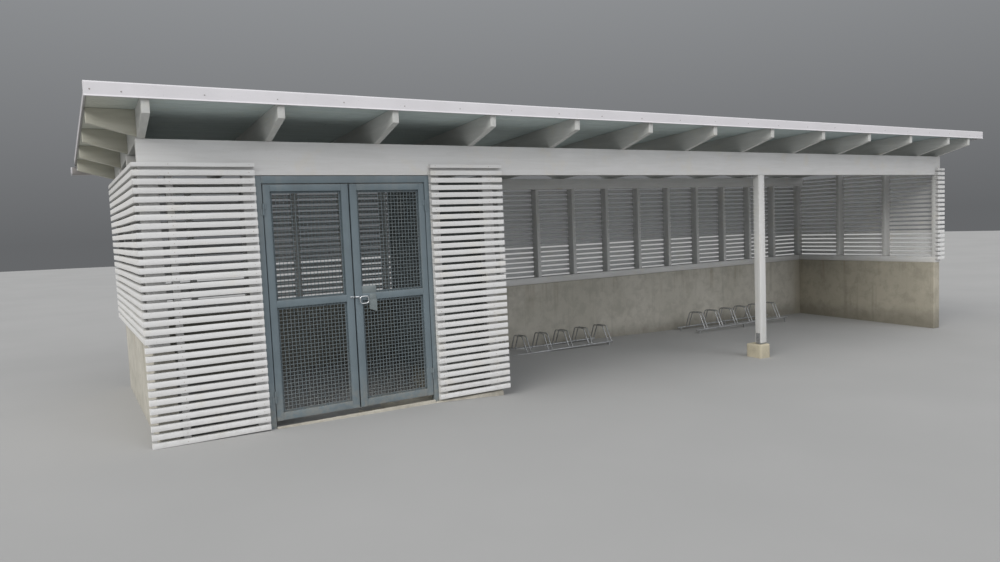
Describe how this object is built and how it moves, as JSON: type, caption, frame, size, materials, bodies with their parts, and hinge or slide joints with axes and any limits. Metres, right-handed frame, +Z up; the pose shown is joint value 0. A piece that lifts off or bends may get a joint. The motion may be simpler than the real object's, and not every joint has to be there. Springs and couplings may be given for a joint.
{
  "type": "bin and cycle shelter",
  "caption": "Long white slatted timber shelter with a low concrete wall, a mesh double door to the bin room, an open cycle bay and a shallow pitched roof.",
  "frame": {"origin": "middle of the whole footprint, roof edges and gutter included, at the lowest ground the shelter meets", "axes": "+X along the long front towards the open bay's end, -Y out of the front, +Z up"},
  "size_m": [12.172, 3.527, 3.057],
  "materials": {
    "concrete": "cast in formwork, matt, water stained",
    "white_timber": "white opaque paint, slightly weathered",
    "roof_timber": "white opaque paint",
    "inner_timber": "white opaque paint",
    "fascia_white": "white coated sheet",
    "roof_felt": "mineral felt",
    "door_grey": "blue-grey paint, satin",
    "mesh_grey": "blue-grey paint, satin",
    "steel": "galvanised steel",
    "chrome": "bright"
  },
  "bodies": {
    "shelter": {"left_concrete_wall": "concrete", "right_concrete_wall": "concrete", "back_concrete_wall": "concrete", "bin_room_slab": "concrete", "left_sill": "white_timber", "right_sill": "white_timber", "back_sill": "white_timber", "left_studs": "white_timber", "right_studs": "white_timber", "back_studs": "white_timber", "front_beam": "white_timber", "back_beam": "white_timber", "left_panel_posts": "white_timber", "right_panel_posts": "white_timber", "bay_post": "white_timber", "post_shoe": "steel", "post_block": "concrete", "front_left_slats": "white_timber", "left_slats": "white_timber", "back_slats": "white_timber", "right_slats": "white_timber", "right_corner_slats": "white_timber", "front_right_slats": "white_timber", "rafters_left": "roof_timber", "rafters_middle": "roof_timber", "rafters_right": "roof_timber", "left_outriggers": "roof_timber", "right_outriggers": "roof_timber", "roof_deck": "roof_timber", "roof_kerbs": "inner_timber", "roof_felt": "roof_felt", "front_fascia": "fascia_white", "left_verge_board": "fascia_white", "right_verge_board": "fascia_white", "back_fascia": "fascia_white", "gutter": "fascia_white", "left_jamb": "door_grey", "right_jamb": "door_grey", "door_head": "door_grey", "partition_boards": "inner_timber", "partition_studs": "inner_timber", "left_rack_rails": "steel", "left_rack_hoops": "steel", "right_rack_rails": "steel", "right_rack_hoops": "steel"},
    "left_leaf": {"left_leaf_frame": "door_grey", "left_leaf_mesh": "mesh_grey", "bolt_keeper": "steel"},
    "right_leaf": {"right_leaf_frame": "door_grey", "right_leaf_mesh": "mesh_grey", "lock_case": "door_grey", "lock_plate": "door_grey", "pull_loop": "chrome", "lock_bolt": "chrome"}
  },
  "joints": [
    {"name": "left_leaf_hinge", "type": "hinge", "parent": "shelter", "child": "left_leaf", "pos_m": [-4.763, -1.2845, 1.334], "axis": [0, 0, 1], "range_deg": [-110, 0]},
    {"name": "right_leaf_hinge", "type": "hinge", "parent": "shelter", "child": "right_leaf", "pos_m": [-3.248, -1.2845, 1.334], "axis": [0, 0, 1], "range_deg": [0, 110]}
  ]
}
